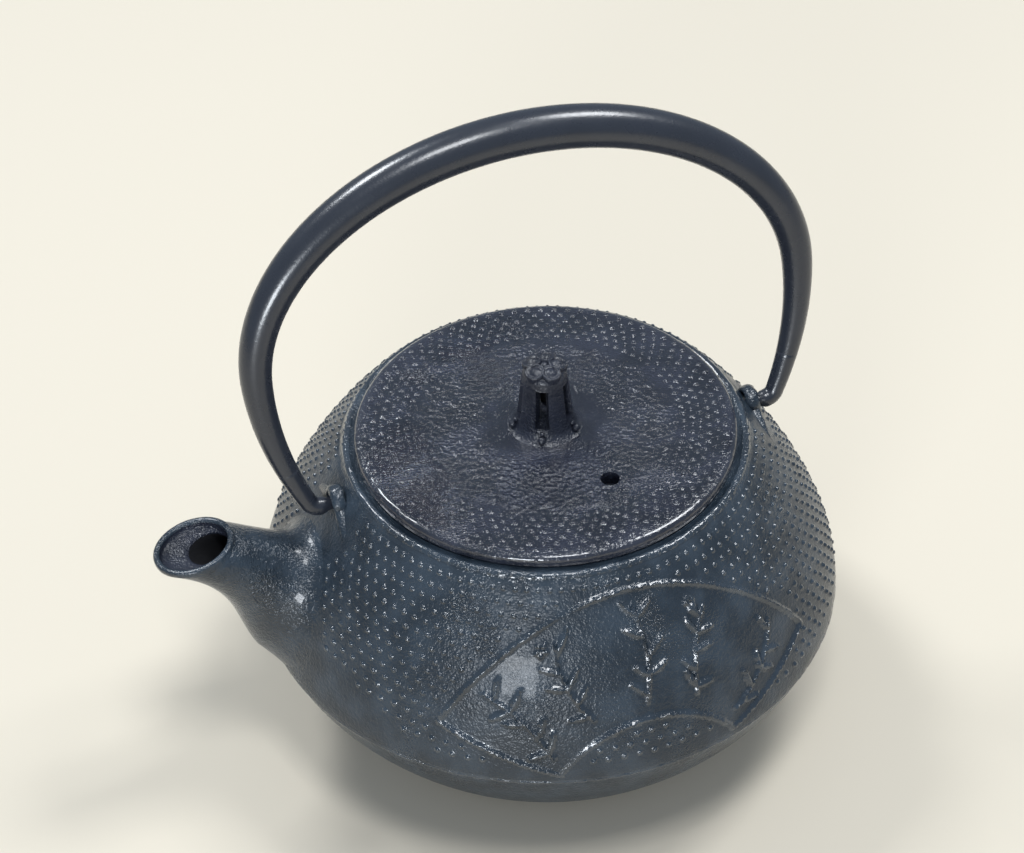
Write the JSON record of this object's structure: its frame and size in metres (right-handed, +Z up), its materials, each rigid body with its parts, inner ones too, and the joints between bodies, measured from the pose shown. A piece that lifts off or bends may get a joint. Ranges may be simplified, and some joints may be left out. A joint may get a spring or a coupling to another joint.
{
  "type": "cast iron teapot",
  "caption": "Small cast iron teapot with a bail handle, short spout, flat lid with a pierced knob, and a hanging steel tea strainer.",
  "frame": {"origin": "on the pot's vertical axis, in the plane that the foot ring stands on", "axes": "+Z up along the pot's axis, -X towards the spout, -Y towards the decorated front; the handle's pins lie along X"},
  "size_m": [0.1668, 0.1412, 0.1554],
  "materials": {
    "lacquered_iron": "dark blue-grey baked lacquer over rough cast iron, satin gloss",
    "lid_iron": "dark slate baked lacquer over rough cast iron, satin gloss",
    "handle_lacquer": "smooth satin black baked paint",
    "rivet_steel": "plain turned steel",
    "strainer_steel": "polished stainless sheet",
    "strainer_mesh": "fine etched stainless screen"
  },
  "bodies": {
    "pot": {"pot_casting": "lacquered_iron"},
    "handle": {"handle_tube": "handle_lacquer", "spout_side_hook": "handle_lacquer", "rear_hook": "handle_lacquer"},
    "strainer": {"strainer_rim": "strainer_steel", "strainer_wall": "strainer_mesh", "strainer_seam": "strainer_steel", "strainer_base_ring": "strainer_steel", "strainer_screen": "strainer_mesh"},
    "lid": {"lid_casting": "lid_iron", "knob_casting": "lid_iron", "knob_rivet": "rivet_steel", "rivet_washer": "rivet_steel"}
  },
  "joints": [
    {"name": "handle_swing", "type": "hinge", "parent": "pot", "child": "handle", "pos_m": [0, 0, 0.071], "axis": [1, 0, 0], "range_deg": [-96, 124]},
    {"name": "strainer_lift", "type": "slide", "parent": "pot", "child": "strainer", "axis": [0, 0, 1], "range_m": [0, 0.05]},
    {"name": "lid_lift", "type": "slide", "parent": "strainer", "child": "lid", "axis": [0, 0, 1], "range_m": [0, 0.045]}
  ]
}
